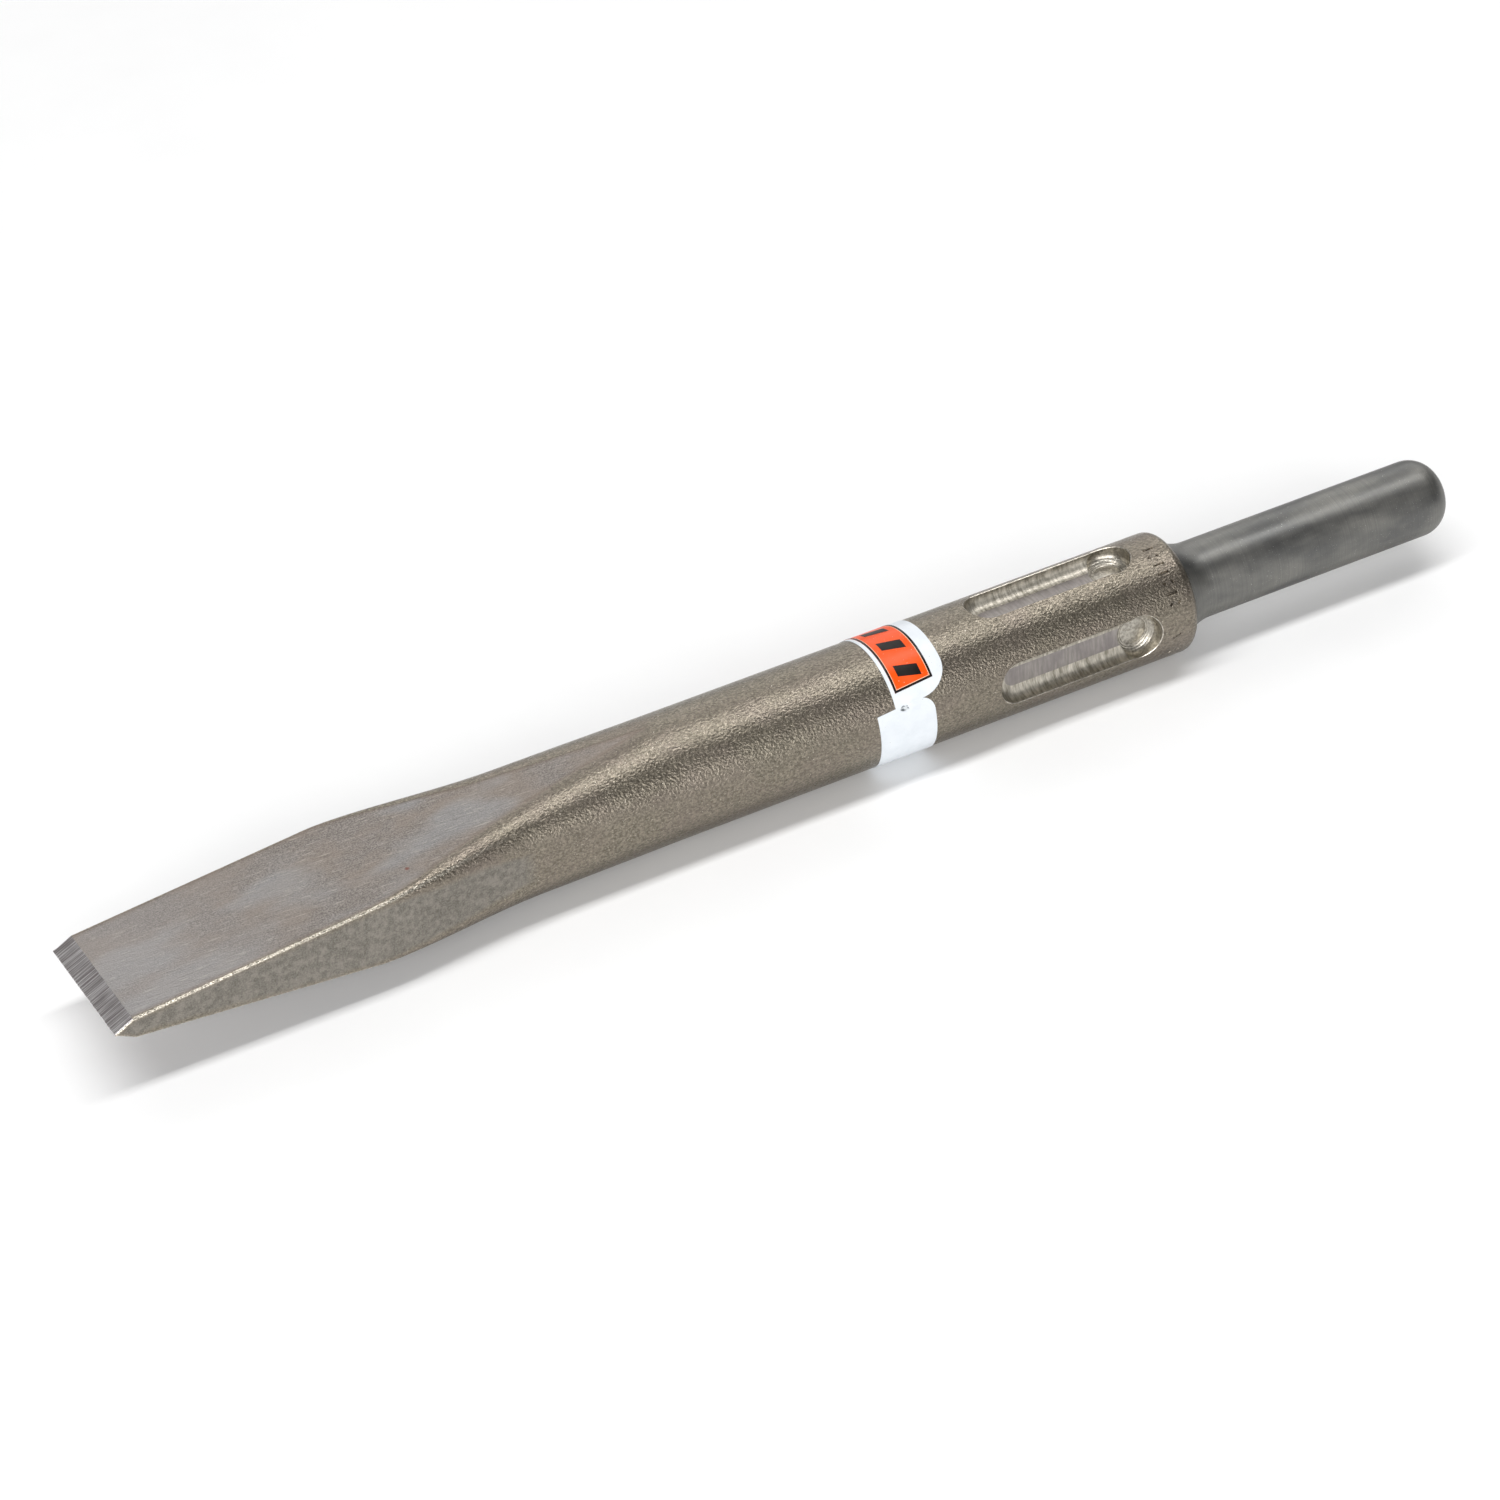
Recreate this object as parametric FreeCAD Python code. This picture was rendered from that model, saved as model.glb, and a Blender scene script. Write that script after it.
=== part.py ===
"""Flat chisel bit for a chipping hammer: one steel forging and its wrap-round label.

The bit lies along X with its cutting edge at the -X end and its striking pin at the +X end.
The blade's flats are level. The origin is on the axis, halfway along the round shank, where a
tool holder grips it. Lengths are in millimetres.
"""
import FreeCAD, Part

import math
import os

V = FreeCAD.Vector

# Whole bit. Stations along the bit are counted from the cutting edge.
TOTAL_LENGTH = 280.0
SHANK_RADIUS = 11.8

# Striking pin and the shoulder that it grows out of.
PIN_RADIUS = 7.5
PIN_END_ROUNDING = 5.6
SHOULDER_STATION = 220.2
SHOULDER_ROUNDING = 2.1
ROOT_FILLET = 9.0

# Blade: a wedge between two flats, drawn out of the round shank.
BLADE_HALF_WIDTH = 14.75
BLADE_FULL_WIDTH_STATION = 50.0
WIDENING_STATION = 84.0
ROUND_STATION = 112.0
NECK_RADIUS = SHANK_RADIUS - 0.08
NECK_FLAT = 0.12
EDGE_RADIUS = 0.4
BEVEL_LENGTH = 3.7
BEVEL_HALF_THICKNESS = 2.05
EDGE_HALF_THICKNESS = 0.12

# Retaining slots, one on each side and one on each flat side of the shank.
SLOT_COUNT = 4
SLOT_START = 177.4
SLOT_LENGTH = 34.2
SLOT_WIDTH = 8.4
SLOT_DEPTH = 3.25
SLOT_CORNER_RADIUS = 2.5
POCKET_EXTRA = 0.25

# Label: a film wound once round the shank at a slight skew, and its printing.
LABEL_THICKNESS = 0.12
LABEL_WIDTH = 11.6
LABEL_STATION = 161.8
LABEL_SKEW = 0.047
LABEL_JOIN_DEGREES = 161.0
LABEL_GAP = 0.4
LABEL_START_CORNER = 3.0
LABEL_END_CORNER = 4.2
INK_THICKNESS = 0.03
FIELD_LENGTH = 42.0
FIELD_END_MARGIN = 3.3
FIELD_EDGE_SIDE_MARGIN = 0.75
FIELD_PIN_SIDE_MARGIN = 2.8
BORDER = 0.5
MARK_COUNT = 7
MARK_WIDTH = 2.2
MARK_HEIGHT = 4.4
MARK_SLANT = 1.4


SHANK_MIDDLE = (ROUND_STATION + SHOULDER_STATION - SHOULDER_ROUNDING) / 2


def along(station):
    """X of a station counted from the cutting edge."""
    return station - SHANK_MIDDLE


def smooth(value):
    """Ease from 0 to 1."""
    t = min(max(value, 0.0), 1.0)
    return t * t * (3 - 2 * t)


def blade_half_thickness(station):
    """The wedge: it meets the round shank's crown at ROUND_STATION."""
    rise = (NECK_RADIUS - BEVEL_HALF_THICKNESS) / (ROUND_STATION - BEVEL_LENGTH)
    return BEVEL_HALF_THICKNESS + rise * (station - BEVEL_LENGTH)


def blade_half_width(station):
    """The blade spreads a little beyond the shank."""
    t = (WIDENING_STATION - station) / (WIDENING_STATION - BLADE_FULL_WIDTH_STATION)
    return NECK_RADIUS + (BLADE_HALF_WIDTH - NECK_RADIUS) * smooth(t)


def blade_corner(station):
    """Corner radius: the whole round at the shank, almost sharp along the blade."""
    t = (station - BLADE_FULL_WIDTH_STATION) / (ROUND_STATION - BLADE_FULL_WIDTH_STATION)
    t = min(max(t, 0.0), 1.0)
    return EDGE_RADIUS + (NECK_RADIUS - NECK_FLAT - EDGE_RADIUS) * t ** 1.25


def section(station, half_width, half_thickness, corner):
    """Rounded rectangle across the bit."""
    x = along(station)
    w = half_width
    t = half_thickness
    r = min(corner, t - NECK_FLAT / 4)
    k = r * (1 - math.sqrt(0.5))

    def p(y, z):
        return V(x, y, z)

    edges = []
    for sy, sz in ((1, 1), (-1, 1), (-1, -1), (1, -1)):
        if sy * sz > 0:
            a = p(sy * w, sz * (t - r))
            b = p(sy * (w - r), sz * t)
            c = p(-sy * (w - r), sz * t)
        else:
            a = p(sy * (w - r), sz * t)
            b = p(sy * w, sz * (t - r))
            c = p(sy * w, -sz * (t - r))
        middle = p(sy * (w - k), sz * (t - k))
        edges.append(Part.Arc(a, middle, b).toShape())
        edges.append(Part.makeLine(b, c))
    return Part.Wire(edges)


def blade():
    """Wedge from the round shank to the bevel, then the two ground bevels."""
    count = 13
    wires = []
    for i in range(count):
        s = BEVEL_LENGTH + (ROUND_STATION - BEVEL_LENGTH) * i / (count - 1)
        wires.append(section(s, blade_half_width(s), blade_half_thickness(s), blade_corner(s)))
    wedge = Part.makeLoft(wires, True, True)
    nose = [
        section(0.0, BLADE_HALF_WIDTH - 0.2, EDGE_HALF_THICKNESS, 0.1),
        section(BEVEL_LENGTH, BLADE_HALF_WIDTH, BEVEL_HALF_THICKNESS, EDGE_RADIUS),
    ]
    return wedge.fuse(Part.makeLoft(nose, True, True))


def shank():
    """Round shank, rounded shoulder, large root fillet and crowned striking pin."""
    start = V(along(ROUND_STATION), 0, 0)
    shoulder = along(SHOULDER_STATION)
    c = SHOULDER_ROUNDING
    f = ROOT_FILLET
    face = SHANK_RADIUS - c
    f_drop = face - PIN_RADIUS
    run = math.sqrt(f * f - (f - f_drop) ** 2)
    root_end = shoulder + run
    half = math.acos((f - f_drop) / f) / 2
    e = PIN_END_ROUNDING
    end = along(TOTAL_LENGTH)
    diagonal = math.sqrt(0.5)
    p_corner = V(shoulder - c, SHANK_RADIUS, 0)
    p_corner_mid = V(shoulder - c + c * diagonal, face + c * diagonal, 0)
    p_face = V(shoulder, face, 0)
    p_root_mid = V(root_end - f * math.sin(half), PIN_RADIUS + f - f * math.cos(half), 0)
    p_root = V(root_end, PIN_RADIUS, 0)
    p_pin = V(end - e, PIN_RADIUS, 0)
    p_pin_mid = V(end - e + e * diagonal, PIN_RADIUS - e + e * diagonal, 0)
    p_tip = V(end, PIN_RADIUS - e, 0)
    edges = [
        Part.makeLine(start, V(start.x, SHANK_RADIUS, 0)),
        Part.makeLine(V(start.x, SHANK_RADIUS, 0), p_corner),
        Part.Arc(p_corner, p_corner_mid, p_face).toShape(),
        Part.Arc(p_face, p_root_mid, p_root).toShape(),
        Part.makeLine(p_root, p_pin),
        Part.Arc(p_pin, p_pin_mid, p_tip).toShape(),
        Part.makeLine(p_tip, V(end, 0, 0)),
        Part.makeLine(V(end, 0, 0), start),
    ]
    profile = Part.Face(Part.Wire(edges))
    return profile.revolve(V(0, 0, 0), V(1, 0, 0), 360)


def bull_nose(radius, corner, height):
    """A round cutter with a flat foot and rounded corners, its foot at Z = 0."""
    diagonal = math.sqrt(0.5)
    middle = V(radius - corner + corner * diagonal, 0, corner - corner * diagonal)
    edges = [
        Part.makeLine(V(0, 0, 0), V(radius - corner, 0, 0)),
        Part.Arc(V(radius - corner, 0, 0), middle, V(radius, 0, corner)).toShape(),
        Part.makeLine(V(radius, 0, corner), V(radius, 0, height)),
        Part.makeLine(V(radius, 0, height), V(0, 0, height)),
        Part.makeLine(V(0, 0, height), V(0, 0, 0)),
    ]
    return Part.Face(Part.Wire(edges)).revolve(V(0, 0, 0), V(0, 0, 1), 360)


def slot_run(radius, corner, height, length):
    """What the cutter clears as it travels along X."""
    diagonal = math.sqrt(0.5)
    inner = radius - corner
    rise = corner - corner * diagonal
    edges = [
        Part.makeLine(V(0, -inner, 0), V(0, inner, 0)),
        Part.Arc(V(0, inner, 0), V(0, inner + corner * diagonal, rise), V(0, radius, corner)).toShape(),
        Part.makeLine(V(0, radius, corner), V(0, radius, height)),
        Part.makeLine(V(0, radius, height), V(0, -radius, height)),
        Part.makeLine(V(0, -radius, height), V(0, -radius, corner)),
        Part.Arc(V(0, -radius, corner), V(0, -inner - corner * diagonal, rise), V(0, -inner, 0)).toShape(),
    ]
    return Part.Face(Part.Wire(edges)).extrude(V(length, 0, 0))


def slot_cutter():
    """One slot, cut down from +Z, with the slightly larger pocket where the cutter plunged."""
    radius = SLOT_WIDTH / 2
    height = SLOT_DEPTH + 2.0
    run = SLOT_LENGTH - SLOT_WIDTH
    first = along(SLOT_START + radius)
    foot = SHANK_RADIUS - SLOT_DEPTH
    near_end = bull_nose(radius, SLOT_CORNER_RADIUS, height)
    near_end.translate(V(first, 0, foot))
    middle = slot_run(radius, SLOT_CORNER_RADIUS, height, run)
    middle.translate(V(first, 0, foot))
    pocket = bull_nose(radius + POCKET_EXTRA, SLOT_CORNER_RADIUS, height)
    pocket.translate(V(first + run, 0, foot - POCKET_EXTRA))
    return near_end.fuse(middle).fuse(pocket)


def chisel_bit():
    """The whole forging."""
    body = shank().fuse(blade())
    cutter = slot_cutter()
    for i in range(SLOT_COUNT):
        tool = cutter.copy()
        tool.rotate(V(0, 0, 0), V(1, 0, 0), 360.0 * i / SLOT_COUNT)
        body = body.cut(tool)
    return body.removeSplitter()


CIRCUMFERENCE = 2 * math.pi * SHANK_RADIUS


def corner_points(around, across, radius, start_degrees):
    """A quarter turn about a centre, counted anticlockwise from start_degrees."""
    points = []
    steps = 6
    for i in range(steps + 1):
        angle = math.radians(start_degrees + 90.0 * i / steps)
        points.append((around + radius * math.cos(angle), across + radius * math.sin(angle)))
    return points


def film(outline, inner, outer):
    """Closed film between two radii, wound on the shank.

    The outline is a list of (distance round, distance across) pairs, anticlockwise. Distances
    round start at the label's join. Distances across count from its middle line, towards the pin.
    """
    loops = []
    faces = []
    for radius in (inner, outer):
        surface = Part.Cylinder()
        surface.Radius = radius
        edges = []
        for i, start in enumerate(outline):
            end = outline[(i + 1) % len(outline)]
            corners = []
            for around, across in (start, end):
                climb = LABEL_SKEW * (around - CIRCUMFERENCE)
                corners.append(FreeCAD.Base.Vector2d(around / SHANK_RADIUS, across + climb))
            edges.append(Part.Geom2d.Line2dSegment(*corners).toShape(surface))
        loops.append(edges)
        faces.append(Part.Face(surface, Part.Wire(edges)))
    for low, high in zip(*loops):
        faces.append(Part.makeRuledSurface(low, high))
    shell = Part.makeShell(faces)
    shell.sewShape()
    solid = Part.Solid(shell)
    if solid.Volume < 0:
        solid.reverse()
    solid.rotate(V(0, 0, 0), V(0, 0, 1), 90.0 + LABEL_JOIN_DEGREES)
    solid.rotate(V(0, 0, 0), V(0, 1, 0), 90.0)
    solid.translate(V(along(LABEL_STATION), 0, 0))
    return solid


def wrap_label():
    """The white film. Each end has one large round corner, on the side of the pin."""
    low = LABEL_GAP / 2
    high = CIRCUMFERENCE - LABEL_GAP / 2
    half = LABEL_WIDTH / 2
    outline = [(low, -half), (high, -half)]
    outline += corner_points(high - LABEL_END_CORNER, half - LABEL_END_CORNER, LABEL_END_CORNER, 0)
    outline += corner_points(low + LABEL_START_CORNER, half - LABEL_START_CORNER, LABEL_START_CORNER, 90)
    return film(outline, SHANK_RADIUS, SHANK_RADIUS + LABEL_THICKNESS)


FIELD_HIGH = CIRCUMFERENCE - LABEL_GAP / 2 - FIELD_END_MARGIN
FIELD_LOW = FIELD_HIGH - FIELD_LENGTH
FIELD_BOTTOM = FIELD_EDGE_SIDE_MARGIN - LABEL_WIDTH / 2
FIELD_TOP = LABEL_WIDTH / 2 - FIELD_PIN_SIDE_MARGIN
FIELD_RADIUS = SHANK_RADIUS + LABEL_THICKNESS


def rectangle(low, high, bottom, top):
    """Outline of an upright rectangle on the label."""
    return [(low, bottom), (high, bottom), (high, top), (low, top)]


def label_field():
    """The orange printed field."""
    outline = rectangle(FIELD_LOW, FIELD_HIGH, FIELD_BOTTOM, FIELD_TOP)
    return film(outline, FIELD_RADIUS, FIELD_RADIUS + INK_THICKNESS)


def label_marks():
    """Black border and a plain row of slanted bars, printed over the field."""
    b = BORDER
    outlines = [
        rectangle(FIELD_LOW, FIELD_HIGH - b, FIELD_BOTTOM, FIELD_BOTTOM + b),
        rectangle(FIELD_HIGH - b, FIELD_HIGH, FIELD_BOTTOM, FIELD_TOP - b),
        rectangle(FIELD_LOW + b, FIELD_HIGH, FIELD_TOP - b, FIELD_TOP),
        rectangle(FIELD_LOW, FIELD_LOW + b, FIELD_BOTTOM + b, FIELD_TOP),
    ]
    pitch = FIELD_LENGTH / MARK_COUNT
    middle = (FIELD_BOTTOM + FIELD_TOP) / 2
    for i in range(MARK_COUNT):
        start = FIELD_LOW + pitch * (i + 0.5) - MARK_WIDTH / 2
        bottom = middle - MARK_HEIGHT / 2
        top = middle + MARK_HEIGHT / 2
        lean = MARK_SLANT / 2
        outlines.append([
            (start - lean, bottom),
            (start + MARK_WIDTH - lean, bottom),
            (start + MARK_WIDTH + lean, top),
            (start + lean, top),
        ])
    inner = FIELD_RADIUS + INK_THICKNESS
    return Part.makeCompound([film(outline, inner, inner + INK_THICKNESS) for outline in outlines])


os.makedirs("parts", exist_ok=True)
chisel_bit().exportStep("parts/chisel_bit.step")
wrap_label().exportStep("parts/wrap_label.step")
label_field().exportStep("parts/label_field.step")
label_marks().exportStep("parts/label_marks.step")
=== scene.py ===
"""Flat chisel bit for a chipping hammer: the finished look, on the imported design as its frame."""

import math

import bmesh
import bpy
from mathutils import Matrix, Vector, noise


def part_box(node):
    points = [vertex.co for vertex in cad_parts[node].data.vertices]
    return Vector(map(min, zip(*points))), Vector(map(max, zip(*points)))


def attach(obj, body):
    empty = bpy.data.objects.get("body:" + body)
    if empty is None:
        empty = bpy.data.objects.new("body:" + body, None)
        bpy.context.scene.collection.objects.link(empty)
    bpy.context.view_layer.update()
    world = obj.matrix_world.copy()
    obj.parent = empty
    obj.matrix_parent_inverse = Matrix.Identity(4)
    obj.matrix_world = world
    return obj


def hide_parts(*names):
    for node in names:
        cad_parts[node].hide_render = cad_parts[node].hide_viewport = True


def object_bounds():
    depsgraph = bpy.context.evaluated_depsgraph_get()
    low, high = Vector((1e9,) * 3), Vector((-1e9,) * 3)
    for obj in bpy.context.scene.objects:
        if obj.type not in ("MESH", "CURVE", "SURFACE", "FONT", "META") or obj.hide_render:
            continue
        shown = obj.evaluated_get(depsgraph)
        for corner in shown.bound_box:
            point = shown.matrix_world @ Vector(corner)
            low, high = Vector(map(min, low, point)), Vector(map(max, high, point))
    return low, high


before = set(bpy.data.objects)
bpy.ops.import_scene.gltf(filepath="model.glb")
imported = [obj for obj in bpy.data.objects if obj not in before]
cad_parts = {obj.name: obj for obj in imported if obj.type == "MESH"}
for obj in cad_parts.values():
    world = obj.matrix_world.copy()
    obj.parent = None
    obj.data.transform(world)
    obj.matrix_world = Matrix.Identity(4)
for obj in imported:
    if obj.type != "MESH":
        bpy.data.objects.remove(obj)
cad_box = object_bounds()

# ------------------------------------------------------------------ forged bit
# One forging of tool steel: striking pin, shoulder, slotted shank and wedge blade. The bar is
# forged and shot-blasted, the pin is turned and ground behind the shoulder, four slots are milled
# into the shank, and the cutting edge is ground last. Inspection marks are punched by the shoulder.

MM = 0.001
bit_low, bit_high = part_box("chisel_bit")
TIP_X = bit_low.x
SHANK_RADIUS = 11.8 * MM
PIN_RADIUS = 7.5 * MM
PIN_END_ROUNDING = 5.6 * MM
SHOULDER_X = TIP_X + 220.2 * MM
SHOULDER_ROUNDING = 2.1 * MM
ROOT_FILLET = 9.0 * MM
BLADE_HALF_WIDTH = bit_high.y
FULL_WIDTH_X = TIP_X + 50.0 * MM
WIDENING_X = TIP_X + 84.0 * MM
ROUND_X = TIP_X + 112.0 * MM
BEVEL_X = TIP_X + 3.7 * MM
BEVEL_HALF_THICKNESS = 2.05 * MM
EDGE_HALF_THICKNESS = 0.14 * MM
BLADE_CORNER = 0.5 * MM
CORNER_GROWTH = 1.1
# A sharp corner still gets this much of a ring's points, so that its round stays smooth.
CORNER_SHARE = 1.6 * MM
WORN_LINE = 0.42 * MM
WORN_FADE = 30.0 * MM
SIDE_END_X = TIP_X + 82.0 * MM
SIDE_TAPER = 0.35
# The noted distances, in millimetres, go no further than this.
FAR_INSIDE = 5.0
MERGE = 1e-7
ON_AXIS = 1e-9
HAIR = 1e-6
STEEL_CREASE = math.radians(17)
# A face turned further to the side than this is a side of the blade, not a bevel of its edge.
SIDEWAYS = 0.7

RING_STEPS = 288
EDGE_SHARES = (0.0, 0.35, 0.7, 0.9, 1.0)
BEVEL_STEPS = 8
BLADE_STEPS = 110
SHANK_STEPS = 60
SHOULDER_STEPS = 10
ROOT_STEPS = 16
PIN_STEPS = 14
CROWN_STEPS = 16

# The bit's material slots after the first one, which is the blasted skin.
BEVEL, PIN, SLOT_FLOOR, SLOT_WALL, POCKET, RIM, PUNCHED = range(1, 8)


def ease(value):
    """From 0 to 1 with level ends."""
    t = min(max(value, 0.0), 1.0)
    return t * t * (3.0 - 2.0 * t)


def arc_points(cx, cy, radius, start, end, steps):
    """Points of an arc in the profile plane, its two ends included. Angles are in degrees."""
    points = []
    for i in range(steps + 1):
        angle = math.radians(start + (end - start) * i / steps)
        points.append((cx + radius * math.cos(angle), cy + radius * math.sin(angle)))
    return points


def between(start, end, steps):
    """Evenly spaced values after start, up to and with end."""
    return [start + (end - start) * i / steps for i in range(1, steps + 1)]


def bit_profile():
    """Half section of the round bar, from the cutting edge to the middle of the pin's end."""
    points = [(TIP_X, SHANK_RADIUS * part) for part in EDGE_SHARES]
    points += [(x, SHANK_RADIUS) for x in between(TIP_X, BEVEL_X, BEVEL_STEPS)]
    points += [(x, SHANK_RADIUS) for x in between(BEVEL_X, ROUND_X, BLADE_STEPS)]
    shank_end_x = SHOULDER_X - SHOULDER_ROUNDING
    points += [(x, SHANK_RADIUS) for x in between(ROUND_X, shank_end_x, SHANK_STEPS)]
    face = SHANK_RADIUS - SHOULDER_ROUNDING
    points += arc_points(shank_end_x, face, SHOULDER_ROUNDING, 90, 0, SHOULDER_STEPS)[1:]
    drop = face - PIN_RADIUS
    sweep = math.degrees(math.acos((ROOT_FILLET - drop) / ROOT_FILLET))
    root_x = SHOULDER_X + ROOT_FILLET * math.sin(math.radians(sweep))
    points += arc_points(root_x, PIN_RADIUS + ROOT_FILLET, ROOT_FILLET,
                         270 - sweep, 270, ROOT_STEPS)[1:]
    crown_x = bit_high.x - PIN_END_ROUNDING
    points += [(x, PIN_RADIUS) for x in between(root_x, crown_x, PIN_STEPS)]
    points += arc_points(crown_x, PIN_RADIUS - PIN_END_ROUNDING, PIN_END_ROUNDING,
                         90, 0, CROWN_STEPS)[1:]
    points.append((bit_high.x, 0.0))
    return points


def half_thickness(x):
    """The wedge between the flats, and the two steep bevels of the edge."""
    if x < BEVEL_X:
        t = (x - TIP_X) / (BEVEL_X - TIP_X)
        return EDGE_HALF_THICKNESS + (BEVEL_HALF_THICKNESS - EDGE_HALF_THICKNESS) * t
    t = (x - BEVEL_X) / (ROUND_X - BEVEL_X)
    return BEVEL_HALF_THICKNESS + (SHANK_RADIUS - BEVEL_HALF_THICKNESS) * min(t, 1.0)


def half_width(x):
    """The blade spreads a little beyond the shank."""
    spread = ease((WIDENING_X - x) / (WIDENING_X - FULL_WIDTH_X))
    return SHANK_RADIUS + (BLADE_HALF_WIDTH - SHANK_RADIUS) * spread


def corner_radius(x):
    """Nearly sharp along the blade, the whole round at the shank."""
    t = min(max((x - FULL_WIDTH_X) / (ROUND_X - FULL_WIDTH_X), 0.0), 1.0)
    return min(BLADE_CORNER + (SHANK_RADIUS - BLADE_CORNER) * t ** CORNER_GROWTH, half_thickness(x))


def forged_point(x, angle):
    """Where the dies put a point of the round bar: (y, z), then how far it is inside a flat, inside
    a narrow side and from a corner."""
    w, t, r = half_width(x), half_thickness(x), corner_radius(x)
    quarter, part = divmod(angle / (math.pi / 2), 1.0)
    if quarter % 2:
        part = 1.0 - part
    side, top = t - r, w - r
    turn = r * math.pi / 2 + CORNER_SHARE * (1.0 - r / SHANK_RADIUS)
    run = part * (side + turn + top)
    if run < side:
        y, z, inside, off_corner = w, run, run - side - turn, side - run + r * math.pi / 4
    elif run < side + turn:
        a = (run - side) / turn * math.pi / 2
        y, z, inside = w - r + r * math.cos(a), t - r + r * math.sin(a), run - side - turn
        off_corner = abs(a - math.pi / 4) * r
    else:
        y, z, inside = side + turn + top - run, t, run - side - turn
        off_corner = inside + r * math.pi / 4
    y *= -1.0 if quarter in (1, 2) else 1.0
    z *= -1.0 if quarter in (2, 3) else 1.0
    return y, z, inside, side - run, off_corner


def spun(points, steps, axis, first_angle=0.0):
    """A closed turned shape: a half section of (along, radius) pairs, spun round X or Z."""
    bm = bmesh.new()
    verts = []
    for along, radius in points:
        across = (radius * math.cos(first_angle), radius * math.sin(first_angle))
        verts.append(bm.verts.new((along, *across) if axis == "X" else (*across, along)))
    edges = [bm.edges.new(pair) for pair in zip(verts, verts[1:])]
    bmesh.ops.spin(bm, geom=verts + edges, cent=(0, 0, 0), axis=(axis == "X", 0, axis == "Z"),
                   dvec=(0, 0, 0), angle=2 * math.pi, steps=steps, use_merge=True,
                   use_duplicate=False)
    bmesh.ops.remove_doubles(bm, verts=bm.verts, dist=MERGE)
    bmesh.ops.recalc_face_normals(bm, faces=bm.faces)
    return bm


def forge(bm):
    """Draws the bar's front out into the blade, and notes its flats, sides and worn corners."""
    flat = bm.verts.layers.float.new("flat")
    narrow = bm.verts.layers.float.new("side")
    worn = bm.verts.layers.float.new("worn")
    for v in bm.verts:
        v[flat] = v[narrow] = -FAR_INSIDE
        radius = math.hypot(v.co.y, v.co.z)
        if v.co.x > ROUND_X or radius < ON_AXIS:
            continue
        angle = math.atan2(v.co.z, v.co.y) % (2 * math.pi)
        y, z, inside, in_side, off_corner = forged_point(v.co.x, angle)
        share = radius / SHANK_RADIUS
        v.co.y, v.co.z = y * share, z * share
        v[flat] = max(-FAR_INSIDE, min(FAR_INSIDE, inside / MM))
        in_side = min(in_side, (SIDE_END_X - v.co.x) * SIDE_TAPER)
        v[narrow] = max(-FAR_INSIDE, min(FAR_INSIDE, in_side / MM))
        fade = ease((WIDENING_X - v.co.x) / WORN_FADE)
        v[worn] = max(0.0, 1.0 - off_corner / WORN_LINE) * fade
    bm.normal_update()
    for face in bm.faces:
        face.smooth = True
        middle = face.calc_center_median()
        if middle.x > SHOULDER_X:
            face.material_index = PIN
        elif middle.x < BEVEL_X and abs(face.normal.y) < SIDEWAYS:
            face.material_index = BEVEL


def mesh_object(bm, name):
    """A mesh object in the scene, its place in its mesh."""
    mesh = bpy.data.meshes.new(name)
    bm.to_mesh(mesh)
    bm.free()
    piece = bpy.data.objects.new(name, mesh)
    bpy.context.scene.collection.objects.link(piece)
    return piece


# Milled slots. Each is a flat floor with hollow walls, round at both ends, and a deeper plunge
# pocket where the cutter went in at the pin's end. The rim has a fine broken edge.
SLOT_START_X = TIP_X + 177.4 * MM
SLOT_END_X = TIP_X + 211.6 * MM
SLOT_HALF_WIDTH = 4.2 * MM
SLOT_DEPTH = 3.25 * MM
SLOT_HOLLOW = 2.3 * MM
POCKET_DEPTH = 3.6 * MM
POCKET_HALF_WIDTH = 4.45 * MM
POCKET_HOLLOW = 1.9 * MM
POCKET_RING = 0.05 * MM
RIM_WIDTH = 0.13 * MM
RIM_FLARE = 0.3 * MM
CUTTER_TOP = 1.5 * MM
CUTTER_STEPS = 72
WALL_STEPS = 14
SLOT_ANGLES = (0, 90, 180, 270)


def slot_cutter(radius, depth, hollow, ring, length, middle_x, angle):
    """The metal that one pass of the milling cutter takes away, placed on the shank."""
    walls = arc_points(radius - hollow, hollow - depth, hollow, -90, 0, WALL_STEPS)
    points = [(-depth, 0.0)] + [(z, r) for r, z in walls]
    points = [(z + (ring if i % 2 else 0.0), r) for i, (z, r) in enumerate(points)]
    widest = radius + RIM_WIDTH + RIM_FLARE
    points += [(-RIM_WIDTH, radius), (0.0, radius + RIM_WIDTH), (RIM_FLARE, widest)]
    points += [(CUTTER_TOP, widest), (CUTTER_TOP, 0.0)]
    bm = spun(points, CUTTER_STEPS, "Z", math.pi / CUTTER_STEPS)
    for face in bm.faces:
        middle = face.calc_center_median()
        across = math.hypot(middle.x, middle.y)
        if middle.z > -RIM_WIDTH:
            face.material_index = RIM
        elif ring:
            face.material_index = POCKET
        elif across < radius - hollow:
            face.material_index = SLOT_FLOOR
        else:
            face.material_index = SLOT_WALL
        face.smooth = True
    for v in bm.verts:
        if abs(v.co.x) > HAIR:
            v.co.x += math.copysign(length / 2, v.co.x)
        if v.co.z > -RIM_WIDTH - HAIR:
            v.co.z += math.sqrt(SHANK_RADIUS ** 2 - v.co.y ** 2) - SHANK_RADIUS
    along = Matrix.Translation((middle_x, 0, 0))
    round_axis = Matrix.Rotation(math.radians(angle - 90), 4, "X")
    outward = Matrix.Translation((0, 0, SHANK_RADIUS))
    bmesh.ops.transform(bm, matrix=along @ round_axis @ outward, verts=bm.verts)
    return bm


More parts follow.
